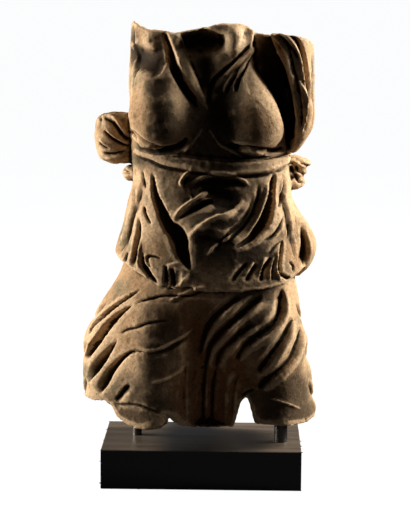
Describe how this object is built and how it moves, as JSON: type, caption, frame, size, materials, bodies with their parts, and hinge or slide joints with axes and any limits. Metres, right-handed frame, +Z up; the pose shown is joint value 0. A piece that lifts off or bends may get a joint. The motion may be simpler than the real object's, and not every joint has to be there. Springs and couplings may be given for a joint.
{
  "type": "draped stone torso on a plinth",
  "caption": "Broken schist figure of a draped woman, from neck to thighs, held on metal rods above a black block plinth.",
  "frame": {"origin": "centre of the plinth's underside, which rests on the ground", "axes": "+Z up through the figure, the figure faces -Y, and +X is to the right of someone who looks at its front"},
  "size_m": [0.1801, 0.115, 0.3485],
  "materials": {
    "schist": "carved and weathered, matt, warm tan to brown with darker stains",
    "black_lacquer": "glossy black lacquer, slightly chipped at the edges",
    "dark_steel": "dark and satin"
  },
  "bodies": {
    "root": {"torso": "schist", "plinth": "black_lacquer", "rod_left": "dark_steel", "rod_right": "dark_steel"}
  },
  "joints": []
}
